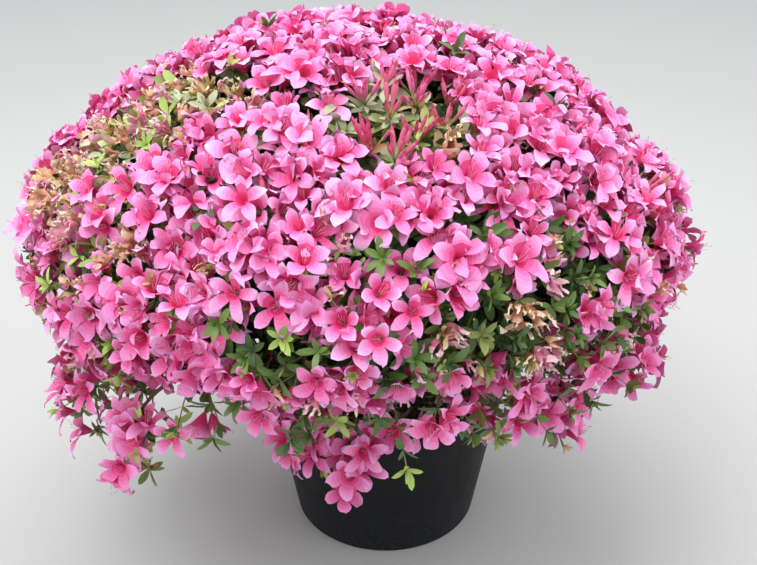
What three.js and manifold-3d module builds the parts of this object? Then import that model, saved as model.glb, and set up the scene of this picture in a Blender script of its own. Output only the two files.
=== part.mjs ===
// Azalea shrub in full flower, standing in its round nursery pot.
// Millimetres, +Z up. The origin is the middle of the pot's flat underside, and the side seen first faces -Y.
import * as THREE from 'three';
import { mergeVertices } from 'three/addons/utils/BufferGeometryUtils.js';
import Module from 'manifold-3d';

const wasm = await Module();
wasm.setup();

const { degToRad, lerp, seededRandom } = THREE.MathUtils;

// Clear distance between pieces that meet
const FIT = 0.3;

// Moulded pot: a thin tapering wall with a rolled collar, a low step and holes in its floor
const POT = {
  height: 225,
  rimRadius: 165,
  baseRadius: 127.5,
  wall: 2.4,
  floor: 3,
  footRounding: 4,
  collarHeight: 19,
  collarOverhang: 4,
  stepDrop: 62,
  stepWidth: 1.6,
  sides: 44,
};
const DRAIN = { count: 6, radius: 8, circleRadius: 92, sides: 8 };

// Potting soil fills the pot to this height
const SOIL_TOP = 200;

// Short trunk, flared where its roots enter the soil
const TRUNK = {
  height: 62,
  lean: [-8, 5],
  foot: 21,
  top: 16.5,
  flare: 10,
  flareHeight: 0.3,
  flareLobes: 5,
  lobeDepth: 0.14,
  sides: 15,
  steps: 6,
};

// Crown: a dome, flatter below than above, that stands a little to the left of the pot
const CROWN = {
  x: -40,
  y: -26,
  z: 440,
  halfWidth: 406,
  halfDepth: 380,
  up: 250,
  down: 108,
  roundness: 1.9,
};

// Dense masses of the crown, in rings. Height is an angle, and depth is 1 on the crown's surface.
const TIERS = [
  { name: 'crown_top', count: 1, angle: 90, turn: 0, depth: 0.6 },
  { name: 'crown_shoulder', count: 5, angle: 38, turn: 18, depth: 0.66 },
  { name: 'crown_side', count: 8, angle: -3, turn: 11, depth: 0.74 },
];
const CORE = { depth: 0.88, ownSpace: 0.94, longest: 130, roughness: 0.2 };

// Loose sprays that hang below the crown: bearing from +X, distance from the pot's middle, top and drop
const SPRAYS = [
  { name: 'spray_left', bearing: 192, reach: 372, top: 296, drop: 140, shoots: 5 },
  { name: 'spray_front_left', bearing: 214, reach: 345, top: 300, drop: 104, shoots: 5 },
  { name: 'spray_front', bearing: 254, reach: 214, top: 290, drop: 108, shoots: 6 },
  { name: 'spray_front_right', bearing: 312, reach: 252, top: 306, drop: 62, shoots: 5 },
  { name: 'spray_right', bearing: 346, reach: 296, top: 312, drop: 50, shoots: 4 },
  { name: 'spray_back_right', bearing: 48, reach: 318, top: 304, drop: 90, shoots: 4 },
  { name: 'spray_back', bearing: 98, reach: 290, top: 296, drop: 96, shoots: 4 },
  { name: 'spray_back_left', bearing: 146, reach: 345, top: 296, drop: 112, shoots: 5 },
];

// The stem of a spray starts inside its reach, bows out and ends low
const SPRAY_STEM = { startsIn: 34, bow: 2, endsOut: 8, bowDrop: 0.3, endDrop: 0.85, middle: 0.5, steps: 4 };

// Boughs, thick to thin. Each leaves the trunk at a share of its height, rising by so much for each unit outwards.
const BOUGH = {
  crown_top: { root: 7, tip: 4.6, leaves: 0.85, rise: 9 },
  crown_shoulder: { root: 6.4, tip: 4, leaves: 0.74, rise: 1.1 },
  crown_side: { root: 5, tip: 3.4, leaves: 0.5, rise: 0.3 },
  spray: { root: 3.6, tip: 2.6, leaves: 0.5, rise: -0.25 },
  firstReach: 0.4,
  lastReach: 0.35,
  sides: 5,
  steps: 5,
  tipFromMassCentre: 52,
};

// Shoots: a thin twig with leaves round it and a flower or a bud of leaves at its end
const SHOOT = {
  spacing: 83,
  lowest: -0.7,
  flowersAbove: -0.42,
  root: 2.6,
  tip: 1.7,
  sunk: 0.72,
  mostShift: 0.5,
  shiftStep: 0.06,
  seed: 41,
};
const SPRAY_SHOOT = { first: 0.16, last: 0.96, aside: [30, 60], out: [20, 40], droop: 6, endDroop: 22, lift: 0.1 };
const FLOWER = { petals: 5, radius: 40, notch: 0.52, funnel: 13, throat: 4, sunk: 8 };
const LEAF = {
  length: 48,
  width: 20,
  thickness: 3,
  widest: 0.12,
  underFlower: { count: 2, down: 9, lift: 0.3 },
  onSpray: { count: 1, down: 9, lift: 0.3 },
  atTip: { count: 4, down: 2, lift: 0.6 },
};

// Room that growth keeps from the limbs, the pot, the ground and the next mass
const CLEAR = { limb: 2.5, pot: 3, ground: 5, neighbour: 1, crownDepth: 1.04 };

const MATERIALS = {
  pot: new THREE.MeshStandardMaterial({ color: '#26272b', roughness: 0.5, metalness: 0 }),
  soil: new THREE.MeshStandardMaterial({ color: '#3b2c22', roughness: 0.95, metalness: 0 }),
  bark: new THREE.MeshStandardMaterial({ color: '#7a6350', roughness: 0.85, metalness: 0 }),
  blossom: new THREE.MeshStandardMaterial({ color: '#ee7fb4', roughness: 0.7, metalness: 0 }),
};

const UP = new THREE.Vector3(0, 0, 1);
const shrub = new THREE.Group();

// Solids

// A closed geometry as a solid that can be joined and cut
function solidOf(geometry) {
  const bare = geometry.clone();
  bare.deleteAttribute('normal');
  bare.deleteAttribute('uv');
  const merged = mergeVertices(bare, 1e-4);
  return new wasm.Manifold(new wasm.Mesh({
    numProp: 3,
    vertProperties: new Float32Array(merged.attributes.position.array),
    triVerts: new Uint32Array(merged.index.array),
  }));
}

// The largest body of a solid, so that loose scraps are dropped and sealed hollows are filled
function wholeBody(solid) {
  const bodies = solid.decompose();
  return bodies.reduce((best, body) => (body.volume() > best.volume() ? body : best));
}

function addPiece(name, solid, material) {
  const { vertProperties, triVerts } = wholeBody(solid).getMesh();
  const geometry = new THREE.BufferGeometry();
  geometry.setAttribute('position', new THREE.BufferAttribute(new Float32Array(vertProperties), 3));
  geometry.setIndex(new THREE.BufferAttribute(new Uint32Array(triVerts), 1));
  geometry.computeVertexNormals();
  const piece = new THREE.Mesh(geometry, material);
  piece.name = name;
  shrub.add(piece);
}

function verticesOf(geometry) {
  const places = geometry.attributes.position;
  return Array.from({ length: places.count }, (_, k) => new THREE.Vector3().fromBufferAttribute(places, k));
}

function moveVertices(geometry, move) {
  verticesOf(geometry).forEach((vertex, k) => {
    const moved = move(vertex);
    geometry.attributes.position.setXYZ(k, moved.x, moved.y, moved.z);
  });
  return geometry;
}

// Moves a geometry to a place, with its own +Z turned to the given direction
function aim(geometry, place, direction, spin = 0) {
  const turn = new THREE.Quaternion().setFromUnitVectors(UP, direction.clone().normalize());
  return geometry.rotateZ(spin).applyQuaternion(turn).translate(place.x, place.y, place.z);
}

// A point from a bearing in degrees, a distance from the pot's middle and a height
function around(bearing, reach, z) {
  return new THREE.Vector3(reach * Math.cos(degToRad(bearing)), reach * Math.sin(degToRad(bearing)), z);
}

// Pot

// Outer radius of the tapering wall below the collar
function potRadius(z) {
  const collarFoot = POT.height - POT.collarHeight;
  const underCollar = POT.rimRadius - POT.collarOverhang;
  const step = z > POT.height - POT.stepDrop ? 0 : POT.stepWidth;
  return lerp(POT.baseRadius, underCollar, z / collarFoot) - step * Math.min(1, z / POT.footRounding);
}

function latheOf(profile) {
  const points = profile.map(([radius, z]) => new THREE.Vector2(radius, z));
  return new THREE.LatheGeometry(points, POT.sides).rotateX(Math.PI / 2);
}

function makePot() {
  const collarFoot = POT.height - POT.collarHeight;
  const stepHeight = POT.height - POT.stepDrop;
  const profile = [
    [0, 0],
    [POT.baseRadius - POT.footRounding, 0],
    [POT.baseRadius - 1, 1.3],
    [potRadius(POT.footRounding), POT.footRounding],
    [potRadius(stepHeight - 1), stepHeight - 1],
    [potRadius(stepHeight + 1), stepHeight + 1],
    [potRadius(collarFoot), collarFoot],
    [POT.rimRadius - 1, collarFoot + 1.5],
    [POT.rimRadius, POT.height - 3],
    [POT.rimRadius - 2, POT.height],
    [POT.rimRadius - POT.collarOverhang - POT.wall, POT.height],
    [potRadius(collarFoot) - POT.wall, collarFoot - 2],
    [potRadius(stepHeight) - POT.wall, stepHeight],
    [potRadius(POT.floor) - POT.wall - 1, POT.floor],
    [0, POT.floor],
  ];
  let pot = solidOf(latheOf(profile));
  for (let k = 0; k < DRAIN.count; k += 1) {
    const place = around((360 * k) / DRAIN.count, DRAIN.circleRadius, POT.floor / 2);
    const drill = new THREE.CylinderGeometry(DRAIN.radius, DRAIN.radius, 4 * POT.floor, DRAIN.sides);
    pot = pot.subtract(solidOf(aim(drill.rotateX(Math.PI / 2), place, UP)));
  }
  addPiece('pot', pot, MATERIALS.pot);
}

function makeSoil() {
  const bottom = POT.floor + FIT;
  const clear = POT.wall + 2 * FIT;
  const stepHeight = POT.height - POT.stepDrop;
  addPiece('potting_soil', solidOf(latheOf([
    [0, bottom],
    [potRadius(bottom) - clear - 1, bottom],
    [potRadius(stepHeight) - clear, stepHeight],
    [potRadius(SOIL_TOP) - clear - 1, SOIL_TOP],
    [0, SOIL_TOP],
  ])), MATERIALS.soil);
}

// Trunk and boughs

// A many-sided cylinder bent along a curve. The radius is worked out from the share of its length and the angle.
function limbAlong(curve, radiusAt, sides, steps, extra = 0) {
  const frames = curve.computeFrenetFrames(steps, false);
  return moveVertices(new THREE.CylinderGeometry(1, 1, steps, sides, steps), (vertex) => {
    const ring = Math.round(vertex.y + steps / 2);
    const radius = radiusAt(ring / steps, Math.atan2(vertex.x, vertex.z)) + extra;
    const beyond = ring === 0 ? -extra : Number(ring === steps) * extra;
    return curve.getPointAt(ring / steps)
      .addScaledVector(frames.tangents[ring], beyond)
      .addScaledVector(frames.binormals[ring], vertex.x * radius)
      .addScaledVector(frames.normals[ring], vertex.z * radius);
  });
}

const trunkFoot = new THREE.Vector3(-6, 0, SOIL_TOP + FIT);
const trunkTop = trunkFoot.clone().add(new THREE.Vector3(...TRUNK.lean, TRUNK.height));
const trunkCurve = new THREE.QuadraticBezierCurve3(
  trunkFoot,
  new THREE.Vector3(trunkFoot.x, trunkFoot.y, (trunkFoot.z + trunkTop.z) / 2),
  trunkTop,
);

function trunkRadius(share, angle) {
  const flare = Math.max(0, 1 - share / TRUNK.flareHeight) ** 2;
  const lobes = 1 + TRUNK.lobeDepth * flare * Math.cos(TRUNK.flareLobes * angle);
  return (lerp(TRUNK.foot, TRUNK.top, share) + TRUNK.flare * flare) * lobes;
}

function makeTrunk() {
  addPiece('trunk', solidOf(limbAlong(trunkCurve, trunkRadius, TRUNK.sides, TRUNK.steps)), MATERIALS.bark);
}

// Crown

function crownPoint(direction, depth = 1) {
  const { x, y, z } = direction;
  const power = CROWN.roundness;
  const norm = (Math.abs(x) ** power + Math.abs(y) ** power + Math.abs(z) ** power) ** (1 / power);
  const east = (x / norm) * depth * CROWN.halfWidth;
  const north = (y / norm) * depth * CROWN.halfDepth;
  const rise = (z / norm) * depth * (z > 0 ? CROWN.up : CROWN.down);
  return new THREE.Vector3(CROWN.x + east, CROWN.y + north, CROWN.z + rise);
}

// How far out a point lies: 0 at the crown's middle and 1 on its surface
function crownDepth(point) {
  const power = CROWN.roundness;
  const east = point.x - CROWN.x;
  const north = point.y - CROWN.y;
  const rise = point.z - CROWN.z;
  const sum = Math.abs(east / CROWN.halfWidth) ** power
    + Math.abs(north / CROWN.halfDepth) ** power
    + Math.abs(rise / (rise > 0 ? CROWN.up : CROWN.down)) ** power;
  return sum ** (1 / power);
}

// Direction that faces straight out of the crown at a point
function crownOutward(point) {
  const step = 1;
  const slope = ['x', 'y', 'z'].map((axis) => {
    const ahead = point.clone();
    const behind = point.clone();
    ahead[axis] += step;
    behind[axis] -= step;
    return crownDepth(ahead) - crownDepth(behind);
  });
  return new THREE.Vector3(...slope).normalize();
}

const masses = TIERS.flatMap((tier) => Array.from({ length: tier.count }, (_, k) => {
  const level = Math.cos(degToRad(tier.angle));
  const direction = around(tier.turn + (360 * k) / tier.count, level, Math.sin(degToRad(tier.angle)));
  const name = tier.count > 1 ? `${tier.name}_${k + 1}` : tier.name;
  return { name, kind: tier.name, direction, centre: crownPoint(direction, tier.depth), dense: true, parts: [] };
}));

for (const spray of SPRAYS) {
  const { bearing, reach, top, drop } = spray;
  const stem = new THREE.CatmullRomCurve3([
    around(bearing, reach - SPRAY_STEM.startsIn, top),
    around(bearing, reach + SPRAY_STEM.bow, top - SPRAY_STEM.bowDrop * drop),
    around(bearing, reach + SPRAY_STEM.endsOut, top - SPRAY_STEM.endDrop * drop),
  ]);
  const centre = around(bearing, reach, top - SPRAY_STEM.middle * drop);
  masses.push({ ...spray, kind: 'spray', stem, centre, dense: false, parts: [] });
}

const limbs = [];

// A bough leaves its parent rising or sinking, and ends in line with what it carries
function addBough(mass, start, end, lastWay) {
  const { root, tip, rise } = BOUGH[mass.kind];
  const reach = start.distanceTo(end);
  const firstWay = new THREE.Vector3(end.x - start.x, end.y - start.y, 0).normalize().addScaledVector(UP, rise);
  const curve = new THREE.CubicBezierCurve3(
    start,
    start.clone().addScaledVector(firstWay.normalize(), reach * BOUGH.firstReach),
    end.clone().addScaledVector(lastWay, -reach * BOUGH.lastReach),
    end,
  );
  const name = mass.name.replace('crown', 'bough').replace('spray', 'bough_low');
  limbs.push({ name, kind: mass.kind, curve, radiusAt: (share) => lerp(root, tip, share) });
}

for (const mass of masses.filter(({ dense }) => dense)) {
  const start = trunkCurve.getPointAt(BOUGH[mass.kind].leaves);
  const way = mass.centre.clone().sub(start).normalize();
  addBough(mass, start, mass.centre.clone().addScaledVector(way, -BOUGH.tipFromMassCentre), way);
}

for (const mass of masses.filter(({ dense }) => !dense)) {
  const sideBoughs = limbs.filter(({ kind }) => kind === 'crown_side');
  const forks = sideBoughs.map(({ curve }) => curve.getPointAt(BOUGH.spray.leaves));
  forks.sort((one, other) => one.distanceTo(mass.centre) - other.distanceTo(mass.centre));
  const start = forks[0];
  const way = mass.stem.getTangentAt(0);
  addBough(mass, start, mass.stem.getPointAt(0).addScaledVector(way, -FIT), way);
}

// Every limb is cut clear of the trunk and of the limbs made before it
function makeBoughs() {
  const made = [solidOf(limbAlong(trunkCurve, trunkRadius, TRUNK.sides, TRUNK.steps, FIT))];
  for (const { name, curve, radiusAt } of limbs) {
    let bough = solidOf(limbAlong(curve, radiusAt, BOUGH.sides, BOUGH.steps));
    for (const other of made) {
      bough = bough.subtract(other);
    }
    addPiece(name, bough, MATERIALS.bark);
    made.push(solidOf(limbAlong(curve, radiusAt, BOUGH.sides, BOUGH.steps, FIT)));
  }
  return made;
}

// Room for growth

// Whether a point is nearer to its own mass than to any other, by a margin
function inOwnSpace(point, mass, margin) {
  return masses.every((other) => {
    if (other === mass) {
      return true;
    }
    const apart = other.centre.clone().sub(mass.centre);
    const half = apart.length() / 2;
    return point.clone().sub(mass.centre).dot(apart.normalize()) < half - margin;
  });
}

const beadsOnLimb = 40;
const limbBeads = limbs.flatMap(({ curve, radiusAt }) => Array.from({ length: beadsOnLimb + 1 }, (_, k) => (
  { place: curve.getPointAt(k / beadsOnLimb), radius: radiusAt(k / beadsOnLimb) })));

function clearOfLimbs(point) {
  return limbBeads.every(({ place, radius }) => place.distanceTo(point) > radius + CLEAR.limb);
}

function clearOfPot(point) {
  const fromAxis = Math.hypot(point.x, point.y);
  return point.z > POT.height + CLEAR.pot || fromAxis > POT.rimRadius + CLEAR.pot;
}

// Whether a twig, leaf or flower has room where it would grow
function hasRoom(geometry, mass) {
  return verticesOf(geometry).every((vertex) => inOwnSpace(vertex, mass, CLEAR.neighbour)
    && (!mass.dense || crownDepth(vertex) < CLEAR.crownDepth)
    && vertex.z > CLEAR.ground
    && clearOfPot(vertex)
    && clearOfLimbs(vertex));
}

// Distance from a mass's middle to the surface of its dense core
function coreReach(mass, direction) {
  let reach = CORE.longest;
  for (const other of masses) {
    const apart = other.centre.clone().sub(mass.centre);
    const towards = direction.dot(apart.clone().normalize());
    if (other !== mass && towards > 0) {
      reach = Math.min(reach, (CORE.ownSpace * apart.length()) / 2 / towards);
    }
  }
  while (crownDepth(mass.centre.clone().addScaledVector(direction, reach)) > CORE.depth) {
    reach -= 1;
  }
  return reach;
}

function makeCore(mass) {
  const ball = new THREE.IcosahedronGeometry(1, 1);
  ball.deleteAttribute('normal');
  ball.deleteAttribute('uv');
  return solidOf(moveVertices(mergeVertices(ball), (direction) => {
    const reach = coreReach(mass, direction.normalize()) * (1 - CORE.roughness * seededRandom());
    return mass.centre.clone().addScaledVector(direction, reach);
  }));
}

// Shoots

function twigGeometry(from, to) {
  const length = from.distanceTo(to);
  const twig = new THREE.CylinderGeometry(SHOOT.tip, SHOOT.root, length, 3, 1).rotateX(Math.PI / 2);
  return aim(twig.translate(0, 0, length / 2), from, to.clone().sub(from));
}

// An open funnel of five pointed petals on a solid back, sunk in the end of its twig
function flowerGeometry(place, facing, spin) {
  const flower = new THREE.ConeGeometry(1, 1, 2 * FLOWER.petals).rotateX(-Math.PI / 2);
  moveVertices(flower, (vertex) => {
    const fromAxis = Math.hypot(vertex.x, vertex.y);
    if (fromAxis < 0.5) {
      return new THREE.Vector3(0, 0, vertex.z > 0 ? FLOWER.throat : -FLOWER.sunk);
    }
    const turn = Math.atan2(vertex.y, vertex.x);
    const isPetal = Math.round((turn * FLOWER.petals) / Math.PI) % 2 === 0;
    const radius = FLOWER.radius * (isPetal ? 1 : FLOWER.notch);
    return new THREE.Vector3(radius * Math.cos(turn), radius * Math.sin(turn), FLOWER.funnel * (isPetal ? 1 : 0.8));
  });
  return aim(flower, place, facing, spin);
}

// A flat lens, widest before its middle, with its stalk end sunk in the twig
function leafGeometry(place, along) {
  const leaf = new THREE.OctahedronGeometry(1, 0);
  moveVertices(leaf, ({ x, y, z }) => new THREE.Vector3(
    (x * LEAF.width) / 2,
    (y * LEAF.thickness) / 2,
    (LEAF.length * (z + 1 - LEAF.widest * (1 - Math.abs(z)))) / 2,
  ));
  return aim(leaf, place, along);
}

// Points spread evenly over the crown, no nearer to each other than the spacing
function spread(spacing, lowest) {
  const points = [];
  const tries = 1600;
  const goldenAngle = Math.PI * (3 - Math.sqrt(5));
  for (let k = 0; k < tries; k += 1) {
    const z = lerp(1, lowest, (k + 0.5) / tries);
    const across = Math.sqrt(1 - z * z);
    const direction = new THREE.Vector3(across * Math.cos(goldenAngle * k), across * Math.sin(goldenAngle * k), z);
    const place = crownPoint(direction);
    if (points.every((other) => other.place.distanceTo(place) > spacing)) {
      points.push({ place, direction });
    }
  }
  return points;
}

function nearestMass(point, choices) {
  return choices.reduce((best, mass) => (
    mass.centre.distanceTo(point) < best.centre.distanceTo(point) ? mass : best));
}

// Grows one shoot to a tip, and leaves out whatever has no room. It has a flower or, if not, more leaves.
function growShoot(mass, root, tip, facing, inFlower) {
  const end = tip.clone().addScaledVector(facing, -FLOWER.funnel);
  const spin = 2 * Math.PI * seededRandom();
  const twig = twigGeometry(root, end);
  const flower = flowerGeometry(end, facing, spin);
  if (!hasRoom(twig, mass) || (inFlower && !hasRoom(flower, mass))) {
    return [];
  }
  const parts = [twig];
  const underFlower = mass.dense ? LEAF.underFlower : LEAF.onSpray;
  const { count, down, lift } = inFlower ? underFlower : LEAF.atTip;
  const turnOut = new THREE.Quaternion().setFromUnitVectors(UP, facing);
  for (let k = 0; k < count; k += 1) {
    const aside = new THREE.Vector3(1, 0, 0).applyAxisAngle(UP, spin + (2 * Math.PI * k) / count);
    const along = aside.applyQuaternion(turnOut).addScaledVector(facing, lift);
    const leaf = leafGeometry(end.clone().addScaledVector(facing, -down), along);
    if (hasRoom(leaf, mass)) {
      parts.push(leaf);
    }
  }
  return inFlower ? [...parts, flower] : parts;
}

function crownShoot(mass, direction, inFlower) {
  const tip = crownPoint(direction);
  const facing = crownOutward(tip);
  const way = tip.clone().addScaledVector(facing, -FLOWER.funnel).sub(mass.centre).normalize();
  const root = mass.centre.clone().addScaledVector(way, SHOOT.sunk * coreReach(mass, way));
  return growShoot(mass, root, tip, facing, inFlower);
}

// A shoot of the crown moves towards the middle of its mass until its flower has room, or else bears leaves
function shootsOfCrown() {
  const dense = masses.filter((mass) => mass.dense);
  for (const { place, direction } of spread(SHOOT.spacing, SHOOT.lowest)) {
    const mass = nearestMass(place, dense);
    const flowers = direction.z > SHOOT.flowersAbove;
    let grown = [];
    for (let shift = 0; flowers && grown.length === 0 && shift < SHOOT.mostShift; shift += SHOOT.shiftStep) {
      grown = crownShoot(mass, direction.clone().lerp(mass.direction, shift), true);
    }
    mass.parts.push(...(grown.length > 0 ? grown : crownShoot(mass, direction, false)));
  }
}

// The stem of a spray bends down, and its shoots leave it on alternate sides and at its end
function shootsOfSpray(mass) {
  const stemRadius = (share) => lerp(BOUGH.spray.tip, SHOOT.root, share);
  mass.parts.push(limbAlong(mass.stem, stemRadius, 3, SPRAY_STEM.steps));
  const outward = around(mass.bearing, 1, 0);
  const across = new THREE.Vector3().crossVectors(UP, outward);
  for (let k = 0; k < mass.shoots; k += 1) {
    const last = k === mass.shoots - 1;
    const side = last ? 0 : (k % 2 ? 1 : -1) * lerp(...SPRAY_SHOOT.aside, seededRandom());
    const root = mass.stem.getPointAt(lerp(SPRAY_SHOOT.first, SPRAY_SHOOT.last, k / (mass.shoots - 1)));
    const tip = root.clone()
      .addScaledVector(outward, lerp(...SPRAY_SHOOT.out, seededRandom()))
      .addScaledVector(across, side)
      .addScaledVector(UP, last ? -SPRAY_SHOOT.endDroop : -SPRAY_SHOOT.droop);
    const facing = outward.clone()
      .addScaledVector(across, side / SPRAY_SHOOT.aside[1])
      .addScaledVector(UP, SPRAY_SHOOT.lift)
      .normalize();
    mass.parts.push(...growShoot(mass, root, tip, facing, true));
  }
}

// Each mass is its core or stem with all its shoots fused on, cut clear of the trunk and boughs
function makeMasses(cutters) {
  seededRandom(SHOOT.seed);
  shootsOfCrown();
  masses.filter(({ dense }) => !dense).forEach(shootsOfSpray);
  for (const mass of masses) {
    const solids = mass.parts.map(solidOf);
    if (mass.dense) {
      solids.unshift(makeCore(mass));
    }
    const fused = solids.reduce((whole, solid) => whole.add(solid));
    addPiece(mass.name, cutters.reduce((whole, cutter) => whole.subtract(cutter), fused), MATERIALS.blossom);
  }
}

makePot();
makeSoil();
makeTrunk();
makeMasses(makeBoughs());

export default shrub;
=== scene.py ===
import math

import bmesh
import bpy
import numpy as np
from mathutils import Matrix, Vector, noise


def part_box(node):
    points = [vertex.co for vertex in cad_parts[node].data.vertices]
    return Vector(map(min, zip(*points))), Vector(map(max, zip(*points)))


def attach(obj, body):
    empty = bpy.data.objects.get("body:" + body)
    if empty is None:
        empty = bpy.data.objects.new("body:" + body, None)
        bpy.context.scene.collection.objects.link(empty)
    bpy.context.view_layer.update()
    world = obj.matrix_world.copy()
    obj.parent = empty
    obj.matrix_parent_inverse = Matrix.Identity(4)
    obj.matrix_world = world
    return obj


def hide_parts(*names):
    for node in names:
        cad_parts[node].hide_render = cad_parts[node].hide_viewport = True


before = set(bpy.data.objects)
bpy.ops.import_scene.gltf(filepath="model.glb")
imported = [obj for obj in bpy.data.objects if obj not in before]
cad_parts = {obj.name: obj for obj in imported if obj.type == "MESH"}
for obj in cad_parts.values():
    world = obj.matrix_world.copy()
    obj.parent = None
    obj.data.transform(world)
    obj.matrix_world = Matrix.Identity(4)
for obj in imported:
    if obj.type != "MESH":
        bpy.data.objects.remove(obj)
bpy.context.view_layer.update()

# Nursery pot
# A 15 litre container, injection moulded in one piece from black recycled polypropylene. Its thin wall tapers
# for stacking, a collar rolled over at the top is the handhold, and holes through the floor let water out.
pot_low, pot_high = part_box("pot")
pot_height = pot_high.z
rim_radius = (pot_high.x - pot_low.x) / 2
pot_base_radius = 0.1275
pot_wall = 0.0024
pot_floor = 0.003
floor_corner = 0.001
foot_rounding = 0.004
step_height = pot_height - 0.062
step_width = 0.0016
# Height above the step's middle, and how far the wall stands out of its taper there
STEP_LINE = [(-0.004, 0), (-0.0012, 0.0004), (0.0012, 0)]
collar_foot = pot_height - 0.019
collar_overhang = 0.004
collar_draft = 0.001
collar_rounding = 0.0012
fillet_out, fillet_down = 0.001, 0.0008
shoulder_drop = 0.002
rim_rounding = 0.003
drain_holes, drain_radius, drain_circle = 6, 0.008, 0.092


def linear(colour):
    """An sRGB hex colour as linear red, green, blue and alpha."""
    parts = [int(colour[k : k + 2], 16) / 255 for k in (1, 3, 5)]
    return [c / 12.92 if c <= 0.04045 else ((c + 0.055) / 1.055) ** 2.4 for c in parts] + [1.0]


def add_node(tree, kind, values=None, links=None, **settings):
    """A new shader node with its settings, its unlinked values and the sockets that feed it."""
    node = tree.nodes.new(kind)
    for name, value in settings.items():
        setattr(node, name, value)
    for name, value in (values or {}).items():
        node.inputs[name].default_value = value
    for name, source in (links or {}).items():
        tree.links.new(source, node.inputs[name])
    return node


def add_math(tree, operation, *inputs):
    """The result of a math node. Each input is a plain value or the socket that feeds it."""
    values = {k: item for k, item in enumerate(inputs) if isinstance(item, float)}
    links = {k: item for k, item in enumerate(inputs) if k not in values}
    return add_node(tree, "ShaderNodeMath", values, links, operation=operation).outputs[0]


def add_noise(tree, where, scale, detail, roughness=0.5):
    """Noise at the places that a socket gives, with about as many lumps to a metre as the scale says."""
    values = {"Scale": scale, "Detail": detail, "Roughness": roughness}
    return add_node(tree, "ShaderNodeTexNoise", values, {"Vector": where}).outputs[0]


def add_range(tree, source, old, new):
    """A value carried over from one range to another."""
    values = {"From Min": old[0], "From Max": old[1], "To Min": new[0], "To Max": new[1]}
    return add_node(tree, "ShaderNodeMapRange", values, {"Value": source}).outputs[0]


def tint_by(tree, shader, source, *stops):
    """Colours a shader by a value, with stops of position and sRGB colour."""
    ramp = add_node(tree, "ShaderNodeValToRGB", links={"Fac": source})
    elements = ramp.color_ramp.elements
    elements[0].position, elements[1].position = stops[0][0], stops[-1][0]
    for position, _ in stops[1:-1]:
        elements.new(position)
    for element, (_, colour) in zip(elements, stops):
        element.color = linear(colour)
    tree.links.new(ramp.outputs["Color"], shader.inputs["Base Color"])


def add_bump(tree, shader, height, strength, distance):
    bump = add_node(tree, "ShaderNodeBump", {"Strength": strength, "Distance": distance}, {"Height": height})
    tree.links.new(bump.outputs[0], shader.inputs["Normal"])


def new_material(name, **values):
    """A material with a Principled shader whose plain values are set on its own sockets."""
    material = bpy.data.materials.new(name)
    material.use_nodes = True
    shader = material.node_tree.nodes["Principled BSDF"]
    for socket, value in values.items():
        shader.inputs[socket.replace("_", " ")].default_value = value
    return material, material.node_tree, shader


def plain_material(name, colour, **values):
    """A material of one sRGB colour."""
    return new_material(name, Base_Color=linear(colour), **values)[0]


def add_object(name, data):
    thing = bpy.data.objects.new(name, data)
    bpy.context.scene.collection.objects.link(thing)
    return thing


def add_piece(name, mesh, nodes):
    """Puts a finished mesh in the scene, in place of the CAD nodes that it stands for."""
    piece = add_object(name, mesh)
    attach(piece, "root")
    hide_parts(*nodes)
    return piece


def pot_radius(z):
    """Outer radius of the wall below the collar, which narrows a little under the step."""
    under_collar = rim_radius - collar_overhang
    step = 0 if z > step_height else step_width
    taper = pot_base_radius + (under_collar - pot_base_radius) * z / collar_foot
    return taper - step * min(1, z / foot_rounding)


def arc(centre, radius, first, last, steps):
    """Points of a round stretch of a profile, as pairs of radius and height. Angles are in degrees."""
    angles = [math.radians(first + (last - first) * k / steps) for k in range(steps + 1)]
    return [(centre[0] + radius * math.cos(a), centre[1] + radius * math.sin(a)) for a in angles]


def spun(profile, steps):
    """A profile of radius and height pairs, turned all the way round Z."""
    shape = bmesh.new()
    points = [shape.verts.new((radius, 0, z)) for radius, z in profile]
    edges = [shape.edges.new(pair) for pair in zip(points, points[1:])]
    bmesh.ops.spin(
        shape, geom=points + edges, axis=(0, 0, 1), angle=math.tau, steps=steps, use_merge=True
    )
    bmesh.ops.remove_doubles(shape, verts=shape.verts, dist=1e-6)
    bmesh.ops.recalc_face_normals(shape, faces=shape.faces)
    return shape


def mesh_of(name, shape, *materials):
    """A smooth mesh from a bmesh, which it frees."""
    mesh = bpy.data.meshes.new(name)
    shape.to_mesh(mesh)
    shape.free()
    mesh.shade_smooth()
    for material in materials:
        mesh.materials.append(material)
    return mesh


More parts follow.
